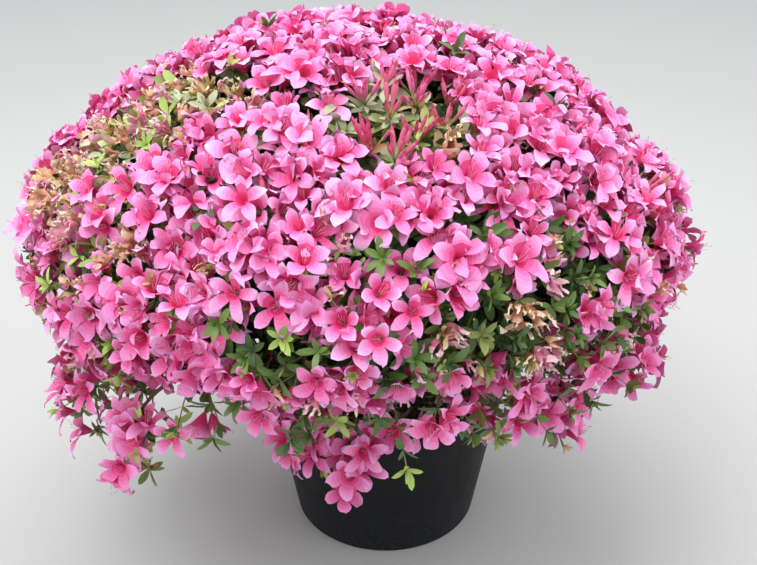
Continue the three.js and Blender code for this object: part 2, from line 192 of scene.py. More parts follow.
def make_pot_plastic():
    """Moulded polypropylene: satin black, cloudy with dried splashes and dust, most of it near the ground."""
    material, tree, shader = new_material("Moulded black polypropylene", IOR=1.49, Specular_IOR_Level=0.22)
    here = add_node(tree, "ShaderNodeTexCoord").outputs["Object"]
    # Chalky bloom, in patches about 20 mm across
    bloom = add_noise(tree, here, 50, 6, 0.6)
    # Rain streaks: the pattern is drawn out four times as long down the wall
    drawn = add_node(tree, "ShaderNodeMapping", {"Scale": (1, 1, 0.25)}, {"Vector": here}).outputs[0]
    streaks = add_noise(tree, drawn, 90, 4, 0.55)
    # Splashes reach 90 mm up from the ground
    height = add_node(tree, "ShaderNodeSeparateXYZ", links={"Vector": here}).outputs["Z"]
    splash = add_range(tree, height, (0.0, 0.09), (0.5, 0.2))
    dusty = add_math(tree, "MULTIPLY", bloom, splash)
    worn = add_math(tree, "MULTIPLY_ADD", streaks, 0.3, dusty)
    # Dried specks of silt, 1 to 3 mm
    specks = add_range(tree, add_noise(tree, here, 330, 3, 0.55), (0.57, 0.7), (0.0, 1.1))
    soiled = add_math(tree, "MULTIPLY_ADD", specks, splash, worn)
    tint_by(tree, shader, soiled, (0.15, "#07090C"), (0.5, "#1B1D20"), (0.9, "#42454A"))
    dull = add_range(tree, streaks, (0.0, 1.0), (0.38, 0.7))
    tree.links.new(dull, shader.inputs["Roughness"])
    # Fine grain of the mould, about 1 mm
    add_bump(tree, shader, add_noise(tree, here, 900, 2), 0.12, 0.0004)
    return material


wall_top = pot_radius(collar_foot)
foot_middle = (pot_base_radius - foot_rounding - step_width, foot_rounding)
collar_middle = (rim_radius - collar_draft - collar_rounding, collar_foot + collar_rounding)
rim_middle = (rim_radius - rim_rounding, pot_height - rim_rounding)
lip_middle = (rim_radius - collar_overhang - pot_wall + collar_rounding, pot_height - collar_rounding)
pot_profile = (
    [(0, 0)]
    + arc(foot_middle, foot_rounding, -90, 0, 5)
    + [(pot_radius(step_height + z) + out, step_height + z) for z, out in STEP_LINE]
    + [(wall_top, collar_foot - fillet_down), (wall_top + fillet_out, collar_foot)]
    + arc(collar_middle, collar_rounding, -90, 0, 3)
    + arc(rim_middle, rim_rounding, 0, 90, 5)
    + arc(lip_middle, collar_rounding, 90, 180, 3)
    + [(wall_top - pot_wall, collar_foot - shoulder_drop)]
    + [(pot_radius(step_height) - pot_wall, step_height)]
    + [(pot_radius(pot_floor) - pot_wall - floor_corner, pot_floor), (0, pot_floor)]
)
pot_mesh = mesh_of("nursery_pot", spun(pot_profile, 144), make_pot_plastic())
pot_mesh.set_sharp_from_angle(angle=math.radians(40))
nursery_pot = add_piece("nursery_pot", pot_mesh, ["pot"])

drills = bmesh.new()
for k in range(drain_holes):
    turn = math.tau * k / drain_holes
    ring = bmesh.ops.create_cone(
        drills, cap_ends=True, segments=24, radius1=drain_radius, radius2=drain_radius, depth=4 * pot_floor
    )
    middle = Vector((drain_circle * math.cos(turn), drain_circle * math.sin(turn), pot_floor / 2))
    bmesh.ops.translate(drills, verts=ring["verts"], vec=middle)
drill = add_object("drill", mesh_of("drill", drills))
cut = nursery_pot.modifiers.new("Drain holes", "BOOLEAN")
cut.operation, cut.solver, cut.object = "DIFFERENCE", "EXACT", drill
bpy.context.view_layer.update()
# The holes are cut for good, so that the drill can go
bored = bpy.data.meshes.new_from_object(nursery_pot.evaluated_get(bpy.context.evaluated_depsgraph_get()))
nursery_pot.modifiers.clear()
nursery_pot.data = bored
bpy.data.objects.remove(drill)

# Potting soil
# A moist mix of dark peat and composted bark, filled to a finger's width below the rim and settled by
# watering. Its crumbs and bark chips lie loose on top.
soil_low, soil_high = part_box("potting_soil")
soil_top = soil_high.z
gap_above, gap_below = 0.0004, 0.0018
soil_radius = pot_radius(soil_top) - pot_wall - gap_above
soil_base_radius = pot_radius(soil_low.z) - pot_wall - gap_below
soil_relief = 0.006
level_edge = 0.03
lumps_per_metre, crumbs_per_metre = 28, 110
chip_count = 900
chip_lengths = (0.003, 0.011)
chip_reach = 0.97
trunk_room = 0.026
SOIL_TINTS = ["#2A1E17", "#3B2A1F", "#4E3928", "#6A5038", "#8A6F50"]


def joined(name, verts, faces, materials, dealt=None, smooth=True):
    """One mesh from plain lists. Dealt gives each face its material by number."""
    mesh = bpy.data.meshes.new(name)
    mesh.from_pydata(np.asarray(verts).tolist(), [], faces)
    for material in materials:
        mesh.materials.append(material)
    if dealt is not None:
        mesh.polygons.foreach_set("material_index", np.asarray(dealt, dtype=np.int32))
    mesh.polygons.foreach_set("use_smooth", np.full(len(faces), smooth))
    mesh.update()
    return mesh


def soil_height(x, y):
    """Lumps a few centimetres wide with crumbs on them, level where the soil meets the wall."""
    lumps = noise.noise(Vector((x * lumps_per_metre, y * lumps_per_metre, 0.3)))
    crumbs = noise.noise(Vector((x * crumbs_per_metre, y * crumbs_per_metre, 4.1)))
    edge = min(1.0, (soil_radius - math.hypot(x, y)) / level_edge)
    return soil_relief * (lumps + 0.5 * crumbs - 0.35) * edge


def make_soil_crumb():
    """Peat: nearly black brown, matt, with crumbs of 2 to 4 mm that catch a little light."""
    material, tree, shader = new_material("Peat and bark mix", Roughness=0.95)
    here = add_node(tree, "ShaderNodeTexCoord").outputs["Object"]
    crumbs = add_noise(tree, here, 320, 5, 0.7)
    tint_by(tree, shader, crumbs, (0.35, "#1A120D"), (0.72, "#5A4330"))
    add_bump(tree, shader, crumbs, 0.7, 0.002)
    return material


ring_steps = 34
soil_profile = [(soil_radius * k / ring_steps, soil_top) for k in range(ring_steps + 1)]
soil_shape = spun(soil_profile + [(soil_base_radius, soil_low.z), (0, soil_low.z)], 110)
for vertex in soil_shape.verts:
    if vertex.co.z > soil_top - 1e-4:
        vertex.co.z += soil_height(vertex.co.x, vertex.co.y)
soil_mesh = mesh_of("potting_mix", soil_shape, make_soil_crumb())
add_piece("potting_mix", soil_mesh, ["potting_soil"])

dice = np.random.default_rng(17)
chip_verts, chip_faces, chip_dealt = [], [], []
chip_corners = np.array([(x, y, z) for x in (-1, 1) for y in (-1, 1) for z in (-1, 1)], float)
chip_sides = [(0, 1, 3, 2), (4, 6, 7, 5), (0, 4, 5, 1), (2, 3, 7, 6), (0, 2, 6, 4), (1, 5, 7, 3)]
for k in range(chip_count):
    reach = soil_radius * chip_reach * math.sqrt(dice.random())
    bearing = math.tau * dice.random()
    x, y = reach * math.cos(bearing), reach * math.sin(bearing)
    if math.hypot(x, y) < trunk_room:
        continue
    length = dice.uniform(*chip_lengths)
    half = np.array([length, length * dice.uniform(0.3, 0.7), length * dice.uniform(0.12, 0.3)]) / 2
    corners = chip_corners * half * dice.uniform(0.7, 1.1, (8, 3))
    turn, lean = dice.uniform(0, math.tau), dice.uniform(-0.35, 0.35)
    flat = np.array([(math.cos(turn), math.sin(turn), 0), (-math.sin(turn), math.cos(turn), 0), (0, 0, 1)])
    tipped = np.array([(math.cos(lean), 0, math.sin(lean)), (0, 1, 0), (-math.sin(lean), 0, math.cos(lean))])
    seat = np.array([x, y, soil_top + soil_height(x, y) + half[2] * 0.5])
    chip_faces += [tuple(len(chip_verts) + i for i in side) for side in chip_sides]
    chip_verts += (corners @ tipped @ flat + seat).tolist()
    chip_dealt += [dice.integers(len(SOIL_TINTS))] * len(chip_sides)
# Chips are matt and flat in colour, and run from nearly black to tan as bark does while it composts
chip_mats = []
for k, colour in enumerate(SOIL_TINTS):
    chip_mats.append(plain_material(f"Bark chip {k + 1}", colour, Roughness=0.9))
chip_mesh = joined("bark_chips", chip_verts, chip_faces, chip_mats, chip_dealt, smooth=False)
add_piece("bark_chips", chip_mesh, ["potting_soil"])

# Trunk
# A short woody stem that leans a little, flared into root heads where it enters the soil. The bark is thin,
# grey brown and shallowly furrowed along the grain.
MM = 0.001
trunk_foot = Vector((-6, 0, 200.3)) * MM
trunk_top = trunk_foot + Vector((-8, 5, 62)) * MM
trunk_line = [trunk_foot, Vector((trunk_foot.x, trunk_foot.y, (trunk_foot.z + trunk_top.z) / 2)), trunk_top]
TRUNK = {"foot": 21 * MM, "top": 16.5 * MM}
FLARE = {"width": 10 * MM, "height": 0.3, "lobes": 5, "lobe_depth": 0.14}
# Furrows to a turn, along a metre, knots to a metre, and how deep the knots are beside the furrows
FURROWS = {"round": 3.2, "along": 22, "knots_round": 1.4, "knots_along": 70, "knot_depth": 0.6}


def on_curve(points, share):
    """Point of a Bezier curve of any degree, at a share of its run from 0 to 1."""
    line = list(points)
    while len(line) > 1:
        line = [a.lerp(b, share) for a, b in zip(line, line[1:])]
    return line[0]


def frames_along(points, steps):
    """Evenly spaced places on a curve, each with two directions across it that don't twist."""
    places = [on_curve(points, k / steps) for k in range(steps + 1)]
    ahead = [(b - a).normalized() for a, b in zip(places, places[1:])]
    ahead.append(ahead[-1])
    side = ahead[0].orthogonal().normalized()
    frames = []
    for place, way in zip(places, ahead):
        side = (side - way * side.dot(way)).normalized()
        frames.append((place, side, way.cross(side)))
    return frames


def add_limb(shape, points, radius_at, sides, steps, furrow):
    """A tube of bark grown ring by ring along a curve. Furrows run along it, and the UV map holds metres."""
    uv = shape.loops.layers.uv.verify()
    frames = frames_along(points, steps)
    length = sum((b[0] - a[0]).length for a, b in zip(frames, frames[1:]))
    seed = 40 * points[-1].x + 7 * points[-1].y
    rings = []
    ring = list(bmesh.ops.create_circle(shape, segments=sides, radius=1, cap_ends=False)["verts"])
    for k, (place, side, across) in enumerate(frames):
        if k > 0:
            grown = bmesh.ops.extrude_edge_only(shape, edges=ring_edges)["geom"]
            ring = [item for item in grown if isinstance(item, bmesh.types.BMVert)]
        share = k / steps
        run = share * length
        for corner, vertex in enumerate(ring):
            angle = math.tau * corner / sides
            cos, sin = math.cos(angle), math.sin(angle)
            turned = Vector((FURROWS["round"] * cos, FURROWS["round"] * sin, run * FURROWS["along"] + seed))
            knotted = Vector((seed, FURROWS["knots_round"] * cos, run * FURROWS["knots_along"]))
            depth = noise.noise(turned) + FURROWS["knot_depth"] * noise.noise(knotted)
            vertex.co = place + (side * cos + across * sin) * (radius_at(share, angle) + furrow * depth)
        rings.append(ring)
        ring_edges = [shape.edges.get((ring[j], ring[(j + 1) % sides])) for j in range(sides)]
    for ring in (rings[0], rings[-1]):
        shape.faces.new(ring)
    spots = {}
    for k, ring in enumerate(rings):
        spots.update({vertex: (corner, k / steps * length) for corner, vertex in enumerate(ring)})
    side_width = math.tau * radius_at(0.5, 0) / sides
    for lower, upper in zip(rings, rings[1:]):
        for j in range(sides):
            wall = [lower[j], lower[(j + 1) % sides], upper[(j + 1) % sides], upper[j]]
            for face in set(wall[0].link_faces) & set(wall[1].link_faces) & set(wall[2].link_faces):
                for loop in face.loops:
                    corner, run = spots[loop.vert]
                    wrapped = corner + sides * (corner == 0 and j == sides - 1)
                    loop[uv].uv = (wrapped * side_width, run)


def make_bark(name, pale, mid, dark):
    """Azalea bark: thin grey brown plates over tan wood, split along the grain every 2 to 4 mm."""
    material, tree, shader = new_material(name, Roughness=0.82)
    along = add_node(tree, "ShaderNodeUVMap").outputs[0]
    drawn = add_node(tree, "ShaderNodeMapping", {"Scale": (1, 0.18, 1)}, {"Vector": along}).outputs[0]
    plates = add_noise(tree, drawn, 420, 6, 0.62)
    worn = add_noise(tree, along, 60, 3)
    both = add_math(tree, "MULTIPLY_ADD", worn, 0.45, plates)
    tint_by(tree, shader, both, (0.5, dark), (0.7, mid), (0.92, pale))
    add_bump(tree, shader, plates, 0.9, 0.0012)
    return material


def trunk_radius(share, angle):
    flare = max(0.0, 1 - share / FLARE["height"]) ** 2
    lobes = 1 + FLARE["lobe_depth"] * flare * math.cos(FLARE["lobes"] * angle)
    return (TRUNK["foot"] + (TRUNK["top"] - TRUNK["foot"]) * share + FLARE["width"] * flare) * lobes


trunk_shape = bmesh.new()
add_limb(trunk_shape, trunk_line, trunk_radius, sides=40, steps=36, furrow=1.1 * MM)
bmesh.ops.recalc_face_normals(trunk_shape, faces=trunk_shape.faces)
old_bark = make_bark("Furrowed azalea bark", "#A08C76", "#7A6552", "#3E3026")
add_piece("trunk_bark", mesh_of("trunk_bark", trunk_shape, old_bark), ["trunk"])

# Crown
# The shape that the living crown fills: a dome of growth, flatter below than above, that has leaned a little
# to the left of its pot. Its branches divide it into masses, and weak low shoots hang out as loose sprays.
CROWN = {
    "middle": Vector((-40, -26, 440)) * MM,
    "half_width": 406 * MM,
    "half_depth": 380 * MM,
    "up": 250 * MM,
    "down": 108 * MM,
    "roundness": 1.9,
}
TIERS = {
    # Number of masses, their angle above level, the first one's bearing and their depth in the crown
    "crown_top": (1, 90, 0, 0.6),
    "crown_shoulder": (5, 38, 18, 0.66),
    "crown_side": (8, -3, 11, 0.74),
}
SPRAYS = {
    # Bearing in degrees, reach, top and drop in mm, and number of shoots
    "spray_left": (192, 372, 296, 140, 5),
    "spray_front_left": (214, 345, 300, 104, 5),
    "spray_front": (254, 214, 290, 108, 6),
    "spray_front_right": (312, 252, 306, 62, 5),
    "spray_right": (346, 296, 312, 50, 4),
    "spray_back_right": (48, 318, 304, 90, 4),
    "spray_back": (98, 290, 296, 96, 4),
    "spray_back_left": (146, 345, 296, 112, 5),
}
# How a spray's stem runs: mm inside and outside its reach, and shares of its drop
STEM = {"starts_in": 34, "bow": 2, "ends_out": 8, "bow_drop": 0.3, "end_drop": 0.85}
BOUGHS = {
    # Radii in mm, the share of the parent's run where each leaves, and the slope at which it sets out
    "crown_top": {"root": 7, "tip": 4.6, "leaves": 0.85, "rise": 9},
    "crown_shoulder": {"root": 6.4, "tip": 4, "leaves": 0.74, "rise": 1.1},
    "crown_side": {"root": 5, "tip": 3.4, "leaves": 0.5, "rise": 0.3},
    "spray": {"root": 3.6, "tip": 2.6, "leaves": 0.5, "rise": -0.25},
}
tip_from_mass_middle = 52 * MM
UP = Vector((0, 0, 1))


def crown_point(direction, depth=1.0):
    """The point of the crown in a direction: depth 1 is its surface and 0 its middle."""
    power = CROWN["roundness"]
    norm = sum(abs(c) ** power for c in direction) ** (1 / power)
    x, y, z = (c / norm * depth for c in direction)
    rise = z * (CROWN["up"] if z > 0 else CROWN["down"])
    return CROWN["middle"] + Vector((x * CROWN["half_width"], y * CROWN["half_depth"], rise))


def crown_depth(point):
    """How deep a point lies in the crown: 1 on its surface and 0 in its middle."""
    power = CROWN["roundness"]
    x, y, z = point - CROWN["middle"]
    height = CROWN["up"] if z > 0 else CROWN["down"]
    parts = (x / CROWN["half_width"], y / CROWN["half_depth"], z / height)
    return sum(abs(c) ** power for c in parts) ** (1 / power)


def crown_outward(point):
    """Direction that faces straight out of the crown at a point."""
    steps = [Vector((MM, 0, 0)), Vector((0, MM, 0)), Vector((0, 0, MM))]
    return Vector([crown_depth(point + step) - crown_depth(point - step) for step in steps]).normalized()


def around(bearing, reach, z):
    """The point at a bearing in degrees, a reach from the pot's axis and a height."""
    turn = math.radians(bearing)
    return Vector((reach * math.cos(turn), reach * math.sin(turn), z))


def spread(spacing, lowest, tries):
    """Directions evenly spread over the crown, whose points are no nearer to each other than the spacing."""
    golden = math.pi * (3 - math.sqrt(5))
    kept, places = [], np.empty((0, 3))
    for k in range(tries):
        z = 1 + (lowest - 1) * (k + 0.5) / tries
        level = math.sqrt(1 - z * z)
        direction = Vector((level * math.cos(golden * k), level * math.sin(golden * k), z))
        place = np.array(crown_point(direction))
        if not len(places) or ((places - place) ** 2).sum(1).min() > spacing**2:
            kept.append(direction)
            places = np.vstack([places, place])
    return kept


masses = []
for kind, (count, angle, first_bearing, depth) in TIERS.items():
    rise = math.radians(angle)
    for k in range(count):
        direction = around(first_bearing + 360 * k / count, math.cos(rise), math.sin(rise))
        name = f"{kind}_{k + 1}" if count > 1 else kind
        masses.append({"name": name, "kind": kind, "middle": crown_point(direction, depth)})
for name, (bearing, reach, top, drop, shoots) in SPRAYS.items():
    bow = around(bearing, (reach + STEM["bow"]) * MM, (top - STEM["bow_drop"] * drop) * MM)
    start = around(bearing, (reach - STEM["starts_in"]) * MM, top * MM)
    end = around(bearing, (reach + STEM["ends_out"]) * MM, (top - STEM["end_drop"] * drop) * MM)
    middle = around(bearing, reach * MM, (top - 0.5 * drop) * MM)
    mass = {"name": name, "kind": "spray", "middle": middle, "bearing": bearing, "shoots": shoots}
    masses.append({**mass, "stem": [start, bow * 2 - (start + end) / 2, end]})
crown_masses = [mass for mass in masses if mass["kind"] != "spray"]
spray_masses = [mass for mass in masses if mass["kind"] == "spray"]
mass_names = [mass["name"] for mass in masses]

# Boughs
# The main limbs that carry the masses: a leader, five shoulder limbs, eight side limbs and the thin low ones
# that the hanging sprays grow from. Each is one tapering branch that leaves its parent and ends in its mass.
bends_at = (0.4, 0.35)


def bough_line(start, end, last_way, rise):
    """A limb that sets out level or rising and comes into its mass the way that the mass lies."""
    reach = (end - start).length
    level = Vector((end.x - start.x, end.y - start.y, 0)).normalized()
    first_way = (level + UP * rise).normalized()
    return [start, start + first_way * reach * bends_at[0], end - last_way * reach * bends_at[1], end]


for mass in crown_masses:
    size = BOUGHS[mass["kind"]]
    start = on_curve(trunk_line, size["leaves"])
    way = (mass["middle"] - start).normalized()
    mass["bough"] = bough_line(start, mass["middle"] - way * tip_from_mass_middle, way, size["rise"])
side_limbs = [mass["bough"] for mass in crown_masses if mass["kind"] == "crown_side"]
side_forks = [on_curve(limb, BOUGHS["spray"]["leaves"]) for limb in side_limbs]
for mass in spray_masses:
    start = min(side_forks, key=lambda fork: (fork - mass["middle"]).length)
    way = (mass["stem"][1] - mass["stem"][0]).normalized()
    mass["bough"] = bough_line(start, mass["stem"][0], way, BOUGHS["spray"]["rise"])

bough_shape = bmesh.new()
for mass in masses:
    size = BOUGHS[mass["kind"]]
    thick, thin = size["root"] * MM, size["tip"] * MM
    taper = lambda share, _: thick + (thin - thick) * share
    add_limb(bough_shape, mass["bough"], taper, sides=12, steps=44, furrow=0.45 * MM)
bmesh.ops.recalc_face_normals(bough_shape, faces=bough_shape.faces)
young_bark = make_bark("Young azalea bark", "#A98F74", "#86694F", "#4C392B")
bough_nodes = [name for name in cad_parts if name.startswith("bough")]
add_piece("bough_bark", mesh_of("bough_bark", bough_shape, young_bark), bough_nodes)

# Twigs
# Branchlets that fork inside each mass and end in this year's shoots, and the hanging stems of the sprays.
# The old wood is tan brown and the youngest green. Each tip carries flowers, buds or a whorl of leaves.
SHOOTS = {"spacing": 83 * MM, "lowest": -0.7, "tries": 1600}
OUTER = {"spacing": 35.5 * MM, "lowest": -0.82, "tries": 12000}
LAYERS = {
    # Spacing in mm, lowest direction, tries, depth, and where on its shoot a twig leaves
    "middle": (46, -0.85, 8000, 0.85, (0.35, 0.55)),
    "inner": (54, -0.9, 6000, 0.68, (0.2, 0.4)),
    "core": (74, -0.95, 4000, 0.45, (0.1, 0.2)),
}
SKIRT = {"count": 80, "level": -0.5, "drop": (0, 62 * MM)}
# Depth and fineness of the lumps in the surface, and how far the shoulders draw in
LUMPS = {"broad": (0.026, 3.1), "fine": (0.022, 8.3), "shoulder": 0.03}
HEM = {"drop": 48, "most": 1.6, "fineness": 2.6, "starts": 0.1, "runs": 0.4}
# Where twigs leave a spray's stem, as shares of it, and how far from there they may end, in mm
SPRAY_TWIGS = {"from": 0.1, "over": 0.66, "last": 0.94, "out": (-6, 22), "aside": (4, 60), "up": (-8, 14)}
LAST_TWIG = {"aside": 20, "up": -12}
spray_twig_tries = 6
flower_room = 34 * MM
OLD_WOOD, NEW_WOOD, GREEN_WOOD = range(3)
dice = np.random.default_rng(41)
twigs = {"verts": [], "faces": [], "dealt": []}


def add_twig(points, thick, thin, tint, sides=4, steps=4):
    """A thin tapering tube along a curve, closed at its ends."""
    first = len(twigs["verts"])
    for k, (place, side, across) in enumerate(frames_along(points, steps)):
        radius = thick + (thin - thick) * k / steps
        for corner in range(sides):
            angle = math.tau * corner / sides
            twigs["verts"].append(place + (side * math.cos(angle) + across * math.sin(angle)) * radius)
    for low in range(first, first + steps * sides, sides):
        for corner in range(sides):
            beside = (corner + 1) % sides
            twigs["faces"].append((low + corner, low + beside, low + sides + beside, low + sides + corner))
    last = first + steps * sides
    twigs["faces"].append(tuple(range(last, last + sides)))
    twigs["faces"].append(tuple(reversed(range(first, first + sides))))
    twigs["dealt"] += [tint] * (steps * sides + 2)


def add_stalk(points, thick, thin):
    """A green stalk with radii in mm, too fine for more than three sides."""
    add_twig(points, thick * MM, thin * MM, GREEN_WOOD, sides=3, steps=len(points) - 1)


def crooked(start, end, first_way, amount):
    """A branch line that sets out one way, bends and wanders a little."""
    reach = (end - start).length
    wander = Vector(dice.uniform(-1, 1, 3)) * reach * amount
    knee = start + first_way.normalized() * reach * 0.35 + wander
    return [start, knee, start.lerp(end, 0.7) - wander * 0.6, end]


def nearest(things, key, place):
    """The thing that has its own place, under a key, nearest to another place."""
    return min(things, key=lambda thing: (thing[key] - place).length_squared)


for mass in crown_masses:
    mass["shoots"] = []
    hub = mass["middle"]
    add_twig([mass["bough"][-1], hub], BOUGHS[mass["kind"]]["tip"] * MM, 3 * MM, OLD_WOOD, sides=6)
for direction in spread(**SHOOTS):
    tip = crown_point(direction)
    mass = nearest(crown_masses, "middle", tip)
    hub = mass["middle"]
    end = tip - crown_outward(tip) * flower_room
    line = crooked(hub, end, end - hub, 0.05)
    add_twig(line, 2.2 * MM, 1.1 * MM, OLD_WOOD, steps=6)
    mass["shoots"].append({"end": end, "line": line})


def branch_off(end, share, thick, tint):
    """Grows a finer twig to an end, out of the nearest shoot of the mass that it is in."""
    line = nearest(nearest(crown_masses, "middle", end)["shoots"], "end", end)["line"]
    fork = on_curve(line, share)
    twig = crooked(fork, end, on_curve(line, share + 0.1) - fork, 0.07)
    add_twig(twig, thick, 0.75 * MM, tint)
    return twig


def living_surface(direction):
    """The crown's surface as it has grown: lumpy, drawn in at the shoulders and with an uneven hem."""
    (broad, broad_lumps), (fine, fine_lumps) = LUMPS["broad"], LUMPS["fine"]
    shoulder = 4 * direction.z**2 * (1 - direction.z**2) if direction.z > 0 else 0
    swell = broad * noise.noise(direction * broad_lumps) + fine * noise.noise(direction * fine_lumps)
    surface = crown_point(direction, 1 + swell - LUMPS["shoulder"] * shoulder)
    facing = crown_outward(surface)
    place = Vector((direction.x * HEM["fineness"] + 4.2, direction.y * HEM["fineness"], 1.7))
    hem = HEM["most"] * max(0, noise.noise(place))
    low = min(1, max(0, HEM["starts"] - direction.z) / HEM["runs"])
    return surface - UP * HEM["drop"] * MM * hem * low, facing


tips = []


def add_tip(layer, end, facing, twig, spot=None):
    """Notes a twig's tip for what grows there. Its spot is the place of the surface that it lies under."""
    tips.append({"layer": layer, "end": end, "facing": facing, "twig": twig, "spot": spot})


for direction in spread(**OUTER):
    surface, facing = living_surface(direction)
    end = surface - facing * (flower_room + dice.uniform(-3, 14) * MM)
    add_tip("outer", end, facing, branch_off(end, dice.uniform(0.45, 0.7), 1.3 * MM, NEW_WOOD), surface)
for layer, (spacing, lowest, tries, depth, leaves_at) in LAYERS.items():
    for direction in spread(spacing * MM, lowest, tries):
        end = crown_point(direction, depth + dice.uniform(-0.05, 0.04))
        twig = branch_off(end, dice.uniform(*leaves_at), 1.2 * MM, OLD_WOOD)
        add_tip(layer, end, crown_outward(end), twig, crown_point(direction))
for k in range(SKIRT["count"]):
    outward = around(360 * (k + dice.uniform(-0.4, 0.4)) / SKIRT["count"], 1, 0)
    surface = crown_point(outward + UP * SKIRT["level"], dice.uniform(0.86, 0.98))
    end = surface - UP * dice.uniform(*SKIRT["drop"])
    facing = (outward - UP * dice.uniform(0, 0.9)).normalized()
    add_tip("skirt", end, facing, branch_off(end, dice.uniform(0.3, 0.5), 1.4 * MM, OLD_WOOD))
for mass in spray_masses:
    stem = mass["stem"]
    outward = around(mass["bearing"], 1, 0)
    across = UP.cross(outward)
    add_twig(stem, 2.6 * MM, 1.3 * MM, OLD_WOOD, sides=6, steps=10)
    count = 2 * mass["shoots"] + 1
    grown = []
    for k in range(count):
        # Twigs leave left and right in turn, each to the roomiest of a few ends. The last one ends the stem.
        last = k == count - 1
        share = SPRAY_TWIGS["from"] + SPRAY_TWIGS["over"] * k / (count - 1)
        share = SPRAY_TWIGS["last"] if last else share
        root = on_curve(stem, share)
        ends = []
        for _ in range(spray_twig_tries):
            side, lift = LAST_TWIG["aside"], LAST_TWIG["up"]
            if not last:
                side = (1 if k % 2 else -1) * dice.uniform(*SPRAY_TWIGS["aside"]) * (1.5 - share)
                lift = dice.uniform(*SPRAY_TWIGS["up"])
            end = root + (outward * dice.uniform(*SPRAY_TWIGS["out"]) + across * side + UP * lift) * MM
            room = min([(end - other).length for other in grown], default=0)
            ends.append((room, side, end))
        _, side, end = max(ends, key=lambda choice: choice[0])
        grown.append(end)
        facing = (outward + across * side / 60 + UP * 0.35 + Vector(dice.uniform(-0.3, 0.3, 3))).normalized()
        twig = crooked(root, end, stem[-1] - root + outward * 0.02, 0.08)
        add_twig(twig, 1.2 * MM, 0.7 * MM, NEW_WOOD)
        add_tip("last" if last else "spray", end, facing, twig)

# Shares of each layer's tips that bear open flowers, withered ones and buds. The rest are leafy.
KINDS = ("open", "faded", "bud")
HABITS = {
    "outer": (0.88, 0.05, 0.02),
    "middle": (0.8, 0.0, 0.0),
    "inner": (0.0, 0.0, 0.0),
    "core": (0.0, 0.0, 0.0),
    "skirt": (0.25, 0.0, 0.0),
    "spray": (0.96, 0.0, 0.01),
    "last": (1.0, 0.0, 0.0),
}
# Low in the crown the outer tips flower less and less, and heights in metres part the middle layer
FEWER = {"below": 0.53, "over": 0.12, "by": 0.45}
full_above, sparse_below = 0.62, 0.44
# Parts of the crown with a habit of their own: middle, reach and shares. The first that a tip lies in counts.
PATCHES = [
    # Clusters in full flower at the front
    ((-0.25, -0.225, 0.59), 0.04, (0.96, 0.0, 0.0)),
    ((-0.21, -0.255, 0.585), 0.045, (0.96, 0.0, 0.0)),
    ((-0.04, -0.37, 0.515), 0.045, (0.95, 0.0, 0.0)),
    ((-0.02, -0.40, 0.46), 0.04, (0.95, 0.0, 0.0)),
    # The withered band at the left
    ((-0.38, -0.08, 0.56), 0.075, (0.02, 0.85, 0.0)),
    ((-0.345, -0.15, 0.565), 0.05, (0.0, 0.85, 0.0)),
    ((-0.30, -0.10, 0.605), 0.05, (0.04, 0.78, 0.0)),
    ((-0.29, -0.17, 0.595), 0.045, (0.05, 0.75, 0.0)),
    ((-0.255, -0.10, 0.63), 0.05, (0.05, 0.75, 0.02)),
    ((-0.215, -0.125, 0.64), 0.05, (0.1, 0.7, 0.05)),
    ((-0.17, -0.14, 0.65), 0.045, (0.2, 0.55, 0.1)),
    ((-0.31, -0.225, 0.555), 0.045, (0.03, 0.75, 0.0)),
    ((-0.345, -0.20, 0.545), 0.055, (0.0, 0.75, 0.0)),
    ((-0.33, -0.25, 0.515), 0.055, (0.1, 0.45, 0.0)),
    ((-0.27, -0.295, 0.52), 0.045, (0.3, 0.4, 0.0)),
    # A leafy gap at the left
    ((-0.16, -0.36, 0.51), 0.032, (0.3, 0.0, 0.0)),
    # Buds near the top
    ((0.02, -0.20, 0.66), 0.075, (0.2, 0.05, 0.65)),
    ((-0.06, -0.20, 0.66), 0.05, (0.35, 0.05, 0.5)),
    ((0.09, -0.21, 0.64), 0.055, (0.4, 0.05, 0.45)),
    # Leafy gaps low at the front and at the right
    ((0.00, -0.356, 0.55), 0.03, (0.3, 0.0, 0.0)),
    ((-0.115, -0.39, 0.47), 0.05, (0.35, 0.0, 0.0)),
    ((0.075, -0.365, 0.455), 0.07, (0.15, 0.04, 0.0)),
    ((0.16, -0.34, 0.47), 0.045, (0.55, 0.04, 0.0)),
    ((0.20, -0.30, 0.51), 0.035, (0.6, 0.05, 0.0)),
    ((0.24, -0.28, 0.47), 0.05, (0.5, 0.15, 0.0)),
    ((0.18, -0.12, 0.63), 0.03, (0.3, 0.1, 0.0)),
    # The right side and the back
    ((0.33, 0.02, 0.52), 0.05, (0.3, 0.2, 0.0)),
    ((0.16, 0.30, 0.50), 0.06, (0.3, 0.05, 0.0)),
    ((-0.10, 0.20, 0.63), 0.06, (0.3, 0.05, 0.5)),
    ((-0.30, 0.22, 0.52), 0.055, (0.3, 0.25, 0.0)),
]


def habit(tip):
    """Whether a tip is open, faded, in bud or only leafy."""
    layer, spot = tip["layer"], tip["spot"]
    shares = HABITS[layer]
    if layer == "outer":
        low = min(1, max(0, (FEWER["below"] - spot.z) / FEWER["over"]))
        shares = (shares[0] - FEWER["by"] * low, *shares[1:])
    if layer == "middle" and spot.z > full_above:
        shares = HABITS["last"]
    if layer == "middle" and spot.z < sparse_below:
        shares = HABITS["skirt"]
    if layer in ("outer", "middle"):
        for middle, reach, patch in PATCHES:
            if (spot - Vector(middle)).length < reach:
                shares = patch if layer == "outer" else HABITS["inner"]
                tip["patch"] = patch
                break
    draw = dice.random()
    for kind, share in zip(KINDS, shares):
        draw -= share
        if draw < 0:
            return kind
    return "leafy"


for tip in tips:
    tip["kind"] = habit(tip)

